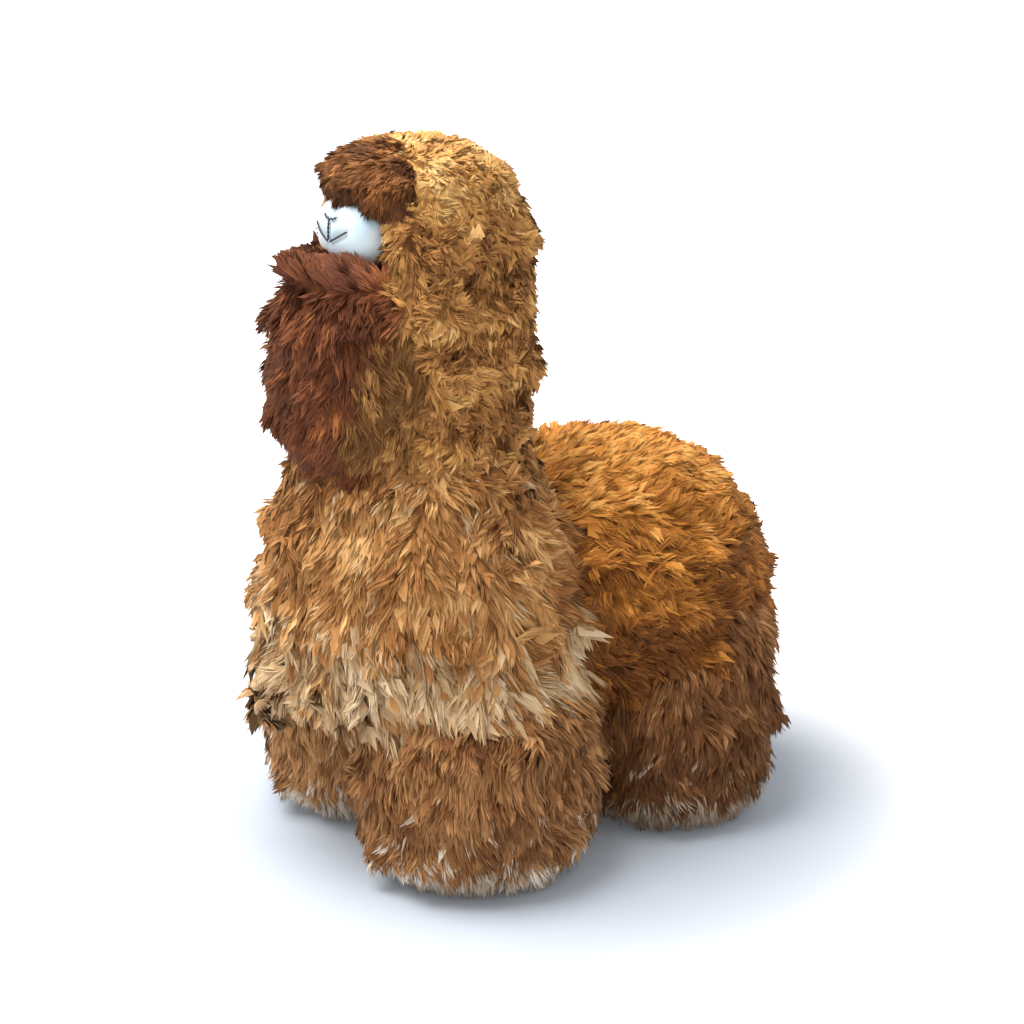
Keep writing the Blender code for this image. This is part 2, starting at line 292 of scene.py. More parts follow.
def unit(vectors):
    """The vectors, each made one long."""
    return vectors / np.maximum(np.linalg.norm(vectors, axis=-1, keepdims=True), 1e-9)


def corner_normals(points, faces):
    """The normal at each corner, from the faces round it."""
    a, b, c = (points[faces[:, k]] for k in range(3))
    normals = np.zeros_like(points)
    for k in range(3):
        np.add.at(normals, faces[:, k], np.cross(b - a, c - a))
    return unit(normals)


def spread_out(values, edges, rounds):
    """Each corner's value, averaged with those of its neighbours along the edges, some rounds."""
    for _ in range(rounds):
        total = values.copy()
        share = np.ones(len(values))
        for start, end in ((0, 1), (1, 0)):
            np.add.at(total, edges[:, start], values[edges[:, end]])
            np.add.at(share, edges[:, start], 1.0)
        values = total / share.reshape(-1, *[1] * (values.ndim - 1))
    return values


def sew_hides():
    """The form that all the hides are cut to, and the patch that each of its faces belongs to.

    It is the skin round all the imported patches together, smoothed and drawn in by the depth
    of the pile.
    """
    corners = []
    polygons = []
    owners = []
    for number, name in enumerate(PATCHES):
        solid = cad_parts[name]
        start = len(corners)
        corners += [solid.matrix_world @ v.co for v in solid.data.vertices]
        polygons += [[start + i for i in face.vertices] for face in solid.data.polygons]
        owners += [number] * len(solid.data.polygons)
    whole = bpy.data.meshes.new("whole")
    whole.from_pydata(corners, [], polygons)
    form = bpy.data.objects.new("whole", whole)
    bpy.context.scene.collection.objects.link(form)
    remesh = form.modifiers.new("even", "REMESH")
    remesh.mode = "VOXEL"
    remesh.voxel_size = VOXEL
    smooth = form.modifiers.new("soft", "SMOOTH")
    smooth.iterations = FORM_SMOOTHING
    smooth.factor = FORM_SOFTNESS
    smoothed = form.evaluated_get(bpy.context.evaluated_depsgraph_get())
    skin = bpy.data.meshes.new_from_object(smoothed)
    bpy.data.objects.remove(form, do_unlink=True)
    points = np.empty(len(skin.vertices) * 3)
    skin.vertices.foreach_get("co", points)
    points = points.reshape(-1, 3)
    edges = np.empty(len(skin.edges) * 2, dtype=np.int32)
    skin.edges.foreach_get("vertices", edges)
    edges = edges.reshape(-1, 2)
    skin.calc_loop_triangles()
    faces = np.empty(len(skin.loop_triangles) * 3, dtype=np.int32)
    skin.loop_triangles.foreach_get("vertices", faces)
    faces = faces.reshape(-1, 3)
    square = np.empty(len(skin.loop_triangles), dtype=np.int32)
    skin.loop_triangles.foreach_get("polygon_index", square)
    solids = BVHTree.FromPolygons(corners, polygons)
    owner_of_square = [owners[solids.find_nearest(face.center)[2]] for face in skin.polygons]
    owner = np.array(owner_of_square)[square]
    bpy.data.meshes.remove(skin)
    bpy.data.meshes.remove(whole)

    depth = np.zeros(len(points))
    depth[faces.ravel()] = np.array(list(PATCHES.values()))[owner].repeat(3)
    depth = spread_out(depth, edges, DEPTH_ROUNDS)
    points = points - corner_normals(points, faces) * depth[:, None]
    points[points[:, 2] < SOLE_Z * 0.6, 2] = 0.0
    lowest = np.full(len(points), len(PATCHES))
    highest = np.full(len(points), -1)
    for k in range(3):
        np.minimum.at(lowest, faces[:, k], owner)
        np.maximum.at(highest, faces[:, k], owner)
    off_seam = spread_out((lowest == highest).astype(float), edges, SEAM_ROUNDS) ** 2
    return points, faces, owner, off_seam


form_points, form_faces, form_owner, form_off_seam = sew_hides()


def cut_hide(node):
    """The part of the form that belongs to one patch: its corners, its faces, and how far each
    corner is off the seam, from 0 to 1."""
    faces = form_faces[form_owner == list(PATCHES).index(node)]
    used, faces = np.unique(faces, return_inverse=True)
    return form_points[used], faces.reshape(-1, 3), form_off_seam[used]


def close_hide(points, faces):
    """Corners and faces that stop up a hide at its seams, with a fan from each rim to its middle."""
    directed = {(int(a), int(b)) for face in faces for a, b in zip(face, np.roll(face, -1))}
    rim = sorted((a, b) for a, b in directed if (b, a) not in directed)
    rim_of = {}

    def follow(corner):
        while rim_of.setdefault(corner, corner) != corner:
            corner = rim_of[corner]
        return corner

    for a, b in rim:
        rim_of[follow(a)] = follow(b)
    loops = sorted({follow(a) for a, _ in rim})
    middles = [np.mean([points[a] for a, _ in rim if follow(a) == loop], axis=0) for loop in loops]
    fans = [(b, a, len(points) + loops.index(follow(a))) for a, b in rim]
    return np.array(middles).reshape(-1, 3), np.array(fans, dtype=np.int64).reshape(-1, 3)


def near_tuft(points, tufts, grain):
    """How far each point is from the parting between its two nearest tufts: 0 in it, 1 well off it.

    grain stretches the tufts along the way the pile is combed.
    """
    tree = kdtree.KDTree(len(tufts))
    for i, tuft in enumerate(tufts * grain):
        tree.insert(tuft, i)
    tree.balance()
    off = np.empty(len(points))
    which = np.empty(len(points), dtype=np.int32)
    for i, point in enumerate(points * grain):
        (_, first, near), (_, _, far) = tree.find_n(point, 2)
        off[i] = (far - near) / (far + near)
        which[i] = first
    return (off * PARTING_STEEPNESS).clip(0.0, 1.0), which


def ripple(points, size, seed):
    """Smooth unevenness from about -1 to 1, made of a few crossing waves of about that size."""
    rng = np.random.default_rng(seed)
    total = np.zeros(len(points))
    for _ in range(RIPPLE_WAVES):
        wave = unit(rng.normal(size=3)) * math.tau / (size * rng.uniform(*RIPPLE_SIZES))
        total += np.sin(points @ wave + rng.uniform(0.0, math.tau))
    return total / math.sqrt(RIPPLE_WAVES)


def scatter(hide, count, rng):
    """Roots spread evenly over the hide, with the hide's normal there.

    None stand on the sole or under the muzzle.
    """
    points, normals, faces = hide
    a, b, c = (points[faces[:, k]] for k in range(3))
    areas = np.linalg.norm(np.cross(b - a, c - a), axis=1)
    areas[(points[faces][:, :, 2] < SOLE_Z).all(axis=1)] = 0.0
    from_muzzle = (points[faces].mean(axis=1) - MUZZLE_CENTRE) / MUZZLE_SIZE * MUZZLE_CLEAR
    areas[np.linalg.norm(from_muzzle, axis=1) < 1.0] = 0.0
    share_of = np.cumsum(areas) / areas.sum()
    picks = (np.arange(count) + rng.random(count)) / count
    chosen = np.searchsorted(share_of, picks).clip(0, len(faces) - 1)
    share = rng.random((count, 2))
    over = share.sum(axis=1) > 1.0
    share[over] = 1.0 - share[over]
    weights = np.column_stack((1.0 - share.sum(axis=1), share))[:, :, None]
    roots = (points[faces[chosen]] * weights).sum(axis=1)
    outward = unit((normals[faces[chosen]] * weights).sum(axis=1))
    return roots, outward


def nearest(centres, points):
    """For each point, the index of the nearest centre."""
    tree = kdtree.KDTree(len(centres))
    for i, centre in enumerate(centres):
        tree.insert(centre, i)
    tree.balance()
    return np.array([tree.find(point)[1] for point in points])


def grow_fleece(name, node, tones, pile):
    """One patch: its hide and its fibres in one mesh, with the tone of each fibre.

    pile holds the numbers of the patch. Each fibre is a thin closed blade with one bend. It
    follows the path of its lock, and the locks lean into tufts. lean is the angle between a
    lock and the hide's normal, in degrees, at the root and at the tip.
    """
    rng = np.random.default_rng(pile["seed"])
    grain = np.array(pile["grain"])
    points, faces, off_seam = cut_hide(node)
    flat = points, corner_normals(points, faces), faces

    def streak(at):
        return ripple(at * grain, pile["streak_size"], pile["seed"] + 2)

    # The pile parts into tufts, and the hide swells under the middle of each
    tuft_at = scatter(flat, pile["tufts"], rng)[0]
    tuft_height = rng.uniform(*TUFT_HEIGHTS, size=len(tuft_at))

    def relief(at):
        off_parting, which = near_tuft(at, tuft_at, grain)
        rise = pile["tuft_rise"] * tuft_height[which] * off_parting ** TUFT_ROUNDNESS
        rise = (rise + pile["streak_rise"] * streak(at)) * off_seam[nearest(flat[0], at)]
        return rise + pile["swell"](at) if "swell" in pile else rise

    points = points + flat[1] * relief(points)[:, None]
    points[:, 2] = np.maximum(points[:, 2], 0.0)
    combing = unit(flat[1] + COMBED_TO_SWELL * corner_normals(points, faces))

    roots, normals = scatter((points, combing, faces), pile["fibres"], rng)
    count = len(roots)
    off_parting, _ = near_tuft(roots, tuft_at, grain)
    picked = rng.choice(count, size=pile["locks"], replace=False)
    lock_at = roots[picked]
    lock_out = normals[picked]
    of_tuft = near_tuft(lock_at, tuft_at, grain)[1]
    of_lock = nearest(lock_at, roots)

    # The way each lock lies: along the flow of the patch, turned by its tuft and by itself
    flow = pile["flow"](lock_at, lock_out)
    facing = np.arccos((unit(flow) * lock_out).sum(axis=1).clip(-1.0, 1.0))
    flow = unit(flow - lock_out * (flow * lock_out).sum(axis=1, keepdims=True))
    swirl = ripple(lock_at, pile["swirl_size"], pile["seed"] + 1).clip(-SWIRL_LIMIT, SWIRL_LIMIT)
    swirl *= pile["swirl"](lock_at)
    swirl += pile["tuft_turn"] * rng.normal(size=len(tuft_at))[of_tuft]
    swirl += pile["lock_turn"] * rng.normal(size=len(lock_at))
    across = np.cross(lock_out, flow)
    flow = flow * np.cos(swirl)[:, None] + across * np.sin(swirl)[:, None]
    across = np.cross(lock_out, flow)
    length = LENGTH_VARIATION * rng.normal(size=len(lock_at)).clip(-2, 2)
    length = pile["length"](lock_at) * (1.0 + length)
    if "hem" in pile:
        under = ((-lock_out[:, 2] - UNDER_START) / UNDER_RANGE).clip(0.0, 1.0)
        length *= 1.0 - UNDER_CLIP * under
    start, end = (np.radians(angle) for angle in pile["lean"])
    start = start + ROOT_LEAN_VARIATION * rng.normal(size=len(lock_at))
    end = end + TIP_LEAN_VARIATION * rng.normal(size=len(lock_at))
    end = np.maximum(end, start + LEAST_BEND)
    end = np.minimum(end, facing + LEAN_MARGIN)
    start = np.minimum(start, end - LEAN_MARGIN)
    bow = pile["wave"] * rng.normal(size=len(lock_at))

    # Each fibre runs from its root over the bend to the tip, and is never further from the form
    # than the pile stands there
    reach = rng.uniform(*FIBRE_REACH, size=count)
    stray = rng.random(count) < pile["stray"]
    spread = roots - lock_at[of_lock]
    gather = (tuft_at[of_tuft] - lock_at)[of_lock]
    loose = rng.normal(size=(count, 3))
    bend = rng.uniform(*BEND_AT, size=count)
    root_relief = relief(roots)
    path = [roots]
    for s in (bend, np.ones(count)):
        begin = start[of_lock]
        steep = (end - start)[of_lock]
        turn = begin + steep * s
        rise = (np.sin(turn) - np.sin(begin)) / steep
        run = (np.cos(begin) - np.cos(turn)) / steep
        sway = bow[of_lock] * np.sin(math.pi * s)
        move = lock_out[of_lock] * rise[:, None] + flow[of_lock] * run[:, None]
        move += across[of_lock] * sway[:, None]
        point = roots + move * (length[of_lock] * reach)[:, None]
        draw = pile["draw"] * s ** DRAW_GROWTH * np.where(stray, STRAY_DRAW, 1.0)
        point -= spread * draw[:, None]
        point += gather * (pile["gather"] * s)[:, None]
        drift = pile["loose"] * s * length[of_lock] * np.where(stray, STRAY_LOOSENESS, 1.0)
        point += loose * drift[:, None]
        raised = relief(point)
        point += normals * (raised - root_relief)[:, None]
        off = point - form_points[nearest(form_points, point)]
        share = (STAND_OFF + raised.clip(0.0)) / np.linalg.norm(off, axis=1)
        point -= off * (1.0 - share.clip(0.0, 1.0))[:, None]
        point[:, 2] = np.maximum(point[:, 2], FLOOR_CLEARANCE)
        path.append(point)

    # Tone from 0 to 1 across the colours of the patch. A second set of colours, where the patch
    # has one, takes the upper half of the ramp
    def tone_of(at, outward, unevenness, chance):
        tone = pile["tone"](at, outward) + pile["streak_tone"] * streak(at) + unevenness
        if "second" not in pile:
            return tone.clip(STREAK, 1.0 - STREAK)
        tone = tone.clip(2 * STREAK, 1.0 - 2 * STREAK) * 0.5
        return tone + 0.5 * (pile["second"](at) > chance)

    tuft_tone = pile["tuft_tone"] * rng.normal(size=len(tuft_at))
    # Painted shade: fibres rooted near a parting between tufts are darkened
    uneven = tuft_tone[of_tuft][of_lock] - pile["parting_shade"] * (1.0 - off_parting)
    uneven += pile["lock_tone"] * rng.normal(size=len(lock_at))[of_lock]
    uneven += pile["fibre_tone"] * rng.normal(size=count)
    chance = LOCK_CHANCE * rng.random(len(lock_at))[of_lock]
    chance += (1.0 - LOCK_CHANCE) * rng.random(count)
    tone = tone_of(roots, normals, uneven, chance)

    # Blades: a root, two corners at the bend, and a tip, wound so that their faces look outward
    along = unit(path[2] - path[0])
    side = unit(np.cross(along, normals))
    hollow = (np.cross(side, path[2] - path[0]) * (path[1] - path[0])).sum(axis=1) < 0.0
    side[hollow] *= -1.0
    wide = (pile["width"] * 0.5 * rng.uniform(*BLADE_WIDTHS, size=count))[:, None]
    rounding = normals + ROUND_ACROSS_LOCK * spread / (pile["spacing"] * 0.5) + ROUND_ALONG_LOCK * along
    rounding = unit(rounding + pile["sparkle"] * rng.normal(size=(count, 3)))
    corners = np.stack((path[0], path[1] + side * wide, path[1] - side * wide, path[2]), axis=1)
    one_edge = unit(rounding + ROUND_ACROSS_BLADE * side)
    other_edge = unit(rounding - ROUND_ACROSS_BLADE * side)
    shading = np.stack((rounding, one_edge, other_edge, rounding), axis=1)
    across_blade = np.array((0.0, STREAK, -STREAK, 0.0))
    root_height = np.full(count, CHART_MARGIN)
    height = np.stack((root_height, bend, bend, 1.0 - root_height), axis=1)
    chart = np.stack((tone[:, None] + across_blade, height), axis=2)
    blade = np.array(((0, 1, 2), (1, 3, 2), (0, 3, 1), (0, 2, 3)))
    fibre_faces = (np.arange(count)[:, None, None] * 4 + blade).reshape(-1, 3)

    # The hide carries the undercoat: the tone of its tuft, with painted shade in the partings
    off_parting, which = near_tuft(points, tuft_at, grain)
    uneven = tuft_tone[which] - pile["parting_shade"] * (1.0 - off_parting)
    uneven += UNDERCOAT_VARIATION * rng.normal(size=len(which))
    hide_tone = tone_of(points, combing, uneven, 0.5)
    # Painted shade on the hide: low on the ramp from root to tip, lowest in the partings
    hide_shade = UNDERCOAT_SHADE_LOW + UNDERCOAT_SHADE_RISE * off_parting
    hide_shade += UNDERCOAT_VARIATION * rng.normal(size=len(points))
    hide_chart = np.column_stack((hide_tone, hide_shade)).clip(CHART_MARGIN, 1.0 - CHART_MARGIN)
    middles, fans = close_hide(points, faces)
    middle_normals = np.tile((0.0, 0.0, 1.0), (len(middles), 1))
    middle_chart = np.full((len(middles), 2), 0.1)
    all_points = np.vstack((corners.reshape(-1, 3), points, middles))
    all_normals = np.vstack((shading.reshape(-1, 3), combing, middle_normals))
    all_chart = np.vstack((chart.reshape(-1, 2), hide_chart, middle_chart))
    all_faces = np.vstack((fibre_faces, faces + count * 4, fans + count * 4)).astype(np.int32)

    mesh = bpy.data.meshes.new(name)
    mesh.vertices.add(len(all_points))
    mesh.vertices.foreach_set("co", all_points.ravel())
    mesh.loops.add(len(all_faces) * 3)
    mesh.loops.foreach_set("vertex_index", all_faces.ravel())
    mesh.polygons.add(len(all_faces))
    mesh.polygons.foreach_set("loop_start", np.arange(0, len(all_faces) * 3, 3, dtype=np.int32))
    mesh.update(calc_edges=True)
    mesh.shade_smooth()
    chart_layer = mesh.uv_layers.new(name="OFBake")
    chart_layer.data.foreach_set("uv", all_chart[all_faces.ravel()].ravel())
    mesh.normals_split_custom_set_from_vertices(all_normals)
    mesh.materials.append(fleece_finish(name + "_fibres", tones))
    piece = bpy.data.objects.new(name, mesh)
    bpy.context.scene.collection.objects.link(piece)
    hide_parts(node)
    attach(piece, "root")
    return piece


# From root to tip: partly the fleece's own colour, partly painted shade at the root and a painted
# highlight at the tip
ROOT_SHADE_TO_TIP_LIGHT = (
    (0.0, (0.66, 0.60, 0.54)),
    (0.3, (0.85, 0.81, 0.76)),
    (0.65, (0.97, 0.95, 0.93)),
    (1.0, (1.0, 1.0, 1.0)),
)


def fleece_finish(name, tones):
    """Fibres that are dark at the root and pale at the tip, in the tones of the patch: partly the
    fleece's own colour, partly painted shade deep in the pile and a painted highlight on the tips.

    The map OFBake gives each fibre its tone along u and runs from root to tip along v.
    """
    finish = bpy.data.materials.new(name)
    finish.use_nodes = True
    nodes, links = finish.node_tree.nodes, finish.node_tree.links
    shader = nodes["Principled BSDF"]
    shader.inputs["Sheen Weight"].default_value = 0.06
    shader.inputs["Sheen Roughness"].default_value = 0.4
    shader.inputs["Sheen Tint"].default_value = (1.0, 0.72, 0.42, 1.0)
    shader.inputs["Specular IOR Level"].default_value = 0.25
    chart = nodes.new("ShaderNodeUVMap")
    chart.uv_map = "OFBake"
    split = nodes.new("ShaderNodeSeparateXYZ")
    palette = nodes.new("ShaderNodeValToRGB")
    set_ramp(palette.color_ramp, tones)
    fade = nodes.new("ShaderNodeValToRGB")
    set_ramp(fade.color_ramp, ROOT_SHADE_TO_TIP_LIGHT)
    mix = nodes.new("ShaderNodeMix")
    mix.data_type = "RGBA"
    mix.blend_type = "MULTIPLY"
    mix.inputs["Factor"].default_value = 1.0
    rough = nodes.new("ShaderNodeMapRange")
    rough.inputs["To Min"].default_value = 0.95
    rough.inputs["To Max"].default_value = 0.7
    links.new(chart.outputs["UV"], split.inputs["Vector"])
    links.new(split.outputs["X"], palette.inputs["Fac"])
    links.new(split.outputs["Y"], fade.inputs["Fac"])
    links.new(palette.outputs["Color"], mix.inputs["A"])
    links.new(fade.outputs["Color"], mix.inputs["B"])
    links.new(mix.outputs["Result"], shader.inputs["Base Color"])
    links.new(split.outputs["Y"], rough.inputs["Value"])
    links.new(rough.outputs["Result"], shader.inputs["Roughness"])
    return finish


def set_ramp(ramp, stops):
    """Fills a colour ramp with stops of (place, colour)."""
    while len(ramp.elements) < len(stops):
        ramp.elements.new(0.5)
    for element, (place, colour) in zip(ramp.elements, stops):
        element.position = place
        element.color = (*colour, 1.0)


def steady(value):
    """The same value all over a patch."""
    return lambda points: np.full(len(points), value)


def downward(points, normals):
    """Combed down, and forward where the hide faces straight up."""
    return np.tile((0.0, -0.25, -1.0), (len(points), 1))


FORELOCK_TONES = (
    (0.0, (0.06, 0.021, 0.007)),
    (0.4, (0.20, 0.075, 0.024)),
    (0.7, (0.42, 0.165, 0.045)),
    (1.0, (0.74, 0.38, 0.11)),
)


# Painted light: brighter where the hide faces up, over a random ripple of tone
def forelock_tone_and_painted_top_light(points, normals):
    return 0.27 + 0.34 * normals[:, 2] + 0.12 * ripple(points, 0.02, 5)


def forelock_length(points):
    """Clipped closer just above the muzzle."""
    return 0.0036 + 0.0026 * ((points[:, 2] - 0.270) / 0.012).clip(0.0, 1.0)


forelock = grow_fleece("forelock_fleece", "forelock", FORELOCK_TONES, dict(
    seed=11, fibres=12500, locks=1100, tufts=70, spacing=0.003, width=0.00033, length=forelock_length,
    lean=(45, 84), wave=0.05, draw=0.05, gather=0.02, loose=0.08, stray=0.02, sparkle=0.12,
    grain=(1.0, 1.0, 0.6), tuft_rise=0.0008, streak_rise=0.0003, streak_size=0.006,
    swirl=steady(0.4), swirl_size=0.03, tuft_turn=0.2, lock_turn=0.15,
    tuft_tone=0.05, lock_tone=0.06, fibre_tone=0.13, parting_shade=0.12, streak_tone=0.08,
    flow=downward, tone=forelock_tone_and_painted_top_light,
))

# Throat ruff: a patch of red-brown pile on the front of the neck, with dark streaks.
# Its upper fibres stand up over the lower rim of the muzzle.
THROAT_TONES = (
    (0.0, (0.075, 0.022, 0.010)),
    (0.25, (0.27, 0.085, 0.030)),
    (0.46, (0.62, 0.235, 0.068)),
    (0.54, (0.14, 0.060, 0.017)),
    (0.75, (0.42, 0.195, 0.058)),
    (1.0, (0.76, 0.43, 0.15)),
)
THROAT_LIP_Z = 0.238
THROAT_EDGE_X = 0.030
THROAT_TAPER = 0.16
THROAT_FOOT_Z = 0.175


def throat_flow(points, normals):
    """Combed down, but out and up over the rim of the muzzle."""
    flow = downward(points, normals)
    lip = ((points[:, 2] - THROAT_LIP_Z) / 0.006).clip(0.0, 1.0)
    flow[:, 1] -= 0.4 * lip
    flow[:, 2] += 2.4 * lip
    return flow


def throat_length(points):
    """A little longer where it closes over the muzzle."""
    return 0.0100 + 0.0010 * ((points[:, 2] - THROAT_LIP_Z) / 0.006).clip(0.0, 1.0)


def throat_swell(points):
    """The ruff stands up in front of the lower half of the muzzle."""
    across = points[:, 0] / 0.016
    along = (points[:, 2] - 0.250) / 0.009
    return 0.0125 * np.exp(-(across ** 2) - along ** 2)


def throat_tone(points, normals):
    return 0.36 - 0.05 * (points[:, 2] - 0.205) / 0.04 + 0.10 * ripple(points, 0.02, 6)


def throat_side(points):
    """Share of neck-coloured fibres: none in front, and all past the edge and below the foot."""
    edge_x = THROAT_EDGE_X - THROAT_TAPER * (0.24 - points[:, 2]).clip(0.0, 0.1)
    edge = (np.abs(points[:, 0]) - edge_x) / 0.006
    foot = (THROAT_FOOT_Z - points[:, 2]) / 0.010
    return np.maximum(edge, foot) + 0.4 * ripple(points, 0.010, 41)


throat = grow_fleece("throat_fleece", "throat_ruff", THROAT_TONES, dict(
    seed=12, fibres=17000, locks=1700, tufts=150, spacing=0.004, width=0.00036,
    length=throat_length, swell=throat_swell,
    lean=(45, 84), wave=0.10, draw=0.22, gather=0.05, loose=0.08, stray=0.02, sparkle=0.13,
    grain=(1.0, 1.0, 0.5), tuft_rise=0.0014, streak_rise=0.0004, streak_size=0.007,
    swirl=steady(0.5), swirl_size=0.03, tuft_turn=0.25, lock_turn=0.15,
    tuft_tone=0.08, lock_tone=0.08, fibre_tone=0.11, parting_shade=0.15, streak_tone=0.12,
    flow=throat_flow, tone=throat_tone, second=throat_side,
))

# Neck and head: olive-golden pile, clipped short, curling into tight little locks that point
# every way, with dark partings between them.
NECK_TONES = (
    (0.0, (0.11, 0.043, 0.011)),
    (0.3, (0.35, 0.148, 0.042)),
    (0.55, (0.57, 0.270, 0.082)),
    (0.8, (0.82, 0.43, 0.125)),
    (1.0, (1.0, 0.66, 0.28)),
)


def neck_flow(points, normals):
    """Combed down, and a little backward."""
    return np.tile((0.0, 0.25, -1.0), (len(points), 1))


def neck_tone(points, normals):
    """Brighter on the head."""
    top = ((points[:, 2] - 0.255) / 0.03).clip(0.0, 1.0)
    return 0.61 + 0.33 * top + 0.15 * ripple(points, 0.022, 7)


def neck_length(points):
    """Clipped close on the crown."""
    crown = ((points[:, 2] - 0.250) / 0.03).clip(0.0, 1.0)
    return 0.0074 - 0.0026 * crown


neck = grow_fleece("neck_fleece", "neck_pelt", NECK_TONES, dict(
    seed=13, fibres=38000, locks=6000, tufts=1150, spacing=0.003, width=0.00035, length=neck_length,
    lean=(38, 85), wave=0.18, draw=0.24, gather=0.12, loose=0.09, stray=0.01, sparkle=0.13,
    grain=(1.0, 1.0, 0.9), tuft_rise=0.0013, streak_rise=0.0003, streak_size=0.008,
    swirl=steady(1.1), swirl_size=0.014, tuft_turn=0.7, lock_turn=0.3,
    tuft_tone=0.09, lock_tone=0.08, fibre_tone=0.11, parting_shade=0.20, streak_tone=0.08,
    flow=neck_flow, tone=neck_tone,
))

# Chest: the longest pile, golden and combed down in wavy locks from the neck to a hem, where
# the tips are bleached to cream and hang over the tops of the front legs.
CHEST_TONES = (
    (0.0, (0.15, 0.056, 0.015)),
    (0.2, (0.46, 0.195, 0.055)),
    (0.46, (0.90, 0.54, 0.22)),
    (0.54, (0.36, 0.205, 0.095)),
    (0.75, (0.72, 0.49, 0.265)),
    (1.0, (0.94, 0.77, 0.53)),
)
CHEST_HEM_Z = 0.116
CHEST_FRONT_Y = -0.055
RINGLETS_AT = np.array((0.045, -0.030, 0.160))
RINGLETS_SIZE = 0.028


def chest_flow(points, normals):
    """Combed down, and backward on the flanks."""
    flow = np.tile((0.0, 0.0, -1.0), (len(points), 1))
    flow[:, 1] += 1.1 * ((points[:, 1] + 0.065) / 0.06).clip(0.0, 1.0)
    flow[:, 0] += 4.0 * points[:, 0]
    return flow


def chest_swirl(points):
    """Ringlets that curl every way at the foot of the neck, and smooth locks elsewhere."""
    mirrored = np.column_stack((np.abs(points[:, 0]), points[:, 1:]))
    away = np.linalg.norm(mirrored - RINGLETS_AT, axis=1)
    return 0.5 + 1.2 * np.exp(-((away / RINGLETS_SIZE) ** 2))


def chest_front(points):
    """0 on the flanks, 1 in front."""
    return ((CHEST_FRONT_Y - points[:, 1]) / 0.03).clip(0.0, 1.0)


def chest_length(points):
    """Longer toward the hem, and less so in front."""
    fall = ((0.165 - points[:, 2]) / 0.07).clip(0.0, 1.0)
    return 0.009 + 0.009 * fall - 0.005 * fall * chest_front(points)


def chest_tone(points, normals):
    return 0.59 + 0.12 * ripple(points, 0.035, 8)


def chest_hem(points):
    """Share of bleached fibres, which grows toward the hem and the front."""
    share = (CHEST_HEM_Z - points[:, 2]) / 0.035 + 0.25 * chest_front(points)
    return share.clip(0.0, 0.72) + 0.25 * ripple(points * (1.0, 1.0, 0.3), 0.008, 42)


chest = grow_fleece("chest_fleece", "chest_pelt", CHEST_TONES, dict(
    seed=14, fibres=43000, locks=4800, tufts=400, spacing=0.0035, width=0.00036, length=chest_length,
    lean=(50, 88), wave=0.13, draw=0.26, gather=0.04, loose=0.055, stray=0.01, sparkle=0.12,
    grain=(1.0, 1.0, 0.28), tuft_rise=0.0017, streak_rise=0.0006, streak_size=0.0055,
    swirl=chest_swirl, swirl_size=0.024, tuft_turn=0.18, lock_turn=0.10,
    tuft_tone=0.06, lock_tone=0.05, fibre_tone=0.11, parting_shade=0.15, streak_tone=0.09,
    flow=chest_flow, tone=chest_tone, second=chest_hem, hem=True,
))

# Back: the loaf from the shoulders to the rump, in orange-brown fluffy tufts that sweep
# backward. It is painted brighter on top than on the flanks, a painted highlight of the lamp overhead.
BACK_TONES = (
    (0.0, (0.10, 0.030, 0.006)),
    (0.15, (0.30, 0.103, 0.017)),
    (0.28, (0.54, 0.205, 0.034)),
    (0.40, (0.84, 0.34, 0.060)),
    (0.46, (0.98, 0.51, 0.14)),
    (0.54, (0.15, 0.056, 0.015)),
    (0.75, (0.50, 0.230, 0.068)),
    (1.0, (0.90, 0.52, 0.19)),
)
SHOULDER_Y = 0.004


def back_flow(points, normals):
    """Combed backward and down."""
    return np.tile((0.0, 0.9, -0.6), (len(points), 1))


def back_tone_and_painted_top_light(points, normals):
    """Brighter toward the top, and wherever the hide faces up: a painted highlight from above, over the
    random tone of the fleece.
    """
    top = ((points[:, 2] - 0.090) / 0.070).clip(0.0, 1.0)
    # Painted light: the tone rises where the hide faces up toward the lamp
    painted_top_light = normals[:, 2].clip(0.0, 1.0)
    return 0.27 + 0.41 * top + 0.26 * painted_top_light + 0.12 * ripple(points, 0.03, 9)


def back_shoulder(points):
    """Share of fibres in the colours of the chest, which run on past its seam at the shoulder."""
    height = ((0.165 - points[:, 2]) / 0.02).clip(0.0, 1.0)
    return height * (SHOULDER_Y - points[:, 1]) / 0.012 + 0.4 * ripple(points, 0.012, 44)


back = grow_fleece("back_fleece", "back_pelt", BACK_TONES, dict(
    seed=15, fibres=42000, locks=5200, tufts=600, spacing=0.004, width=0.00036, length=steady(0.0092),
    lean=(45, 85), wave=0.13, draw=0.22, gather=0.08, loose=0.075, stray=0.01, sparkle=0.12,
    grain=(1.0, 0.6, 0.85), tuft_rise=0.0017, streak_rise=0.0005, streak_size=0.007,
    swirl=steady(0.5), swirl_size=0.03, tuft_turn=0.3, lock_turn=0.12,
    tuft_tone=0.06, lock_tone=0.05, fibre_tone=0.11, parting_shade=0.16, streak_tone=0.08,
    flow=back_flow, tone=back_tone_and_painted_top_light, second=back_shoulder,
))

# Tail: a small tuft of loose pile on a scrap of hide, sewn to the rump below the loaf.
# Its pile is cut from the same brown fleece as the flanks of the back.
def tail_tone(points, normals):
    return 0.38 + 0.1 * ripple(points, 0.02, 10)


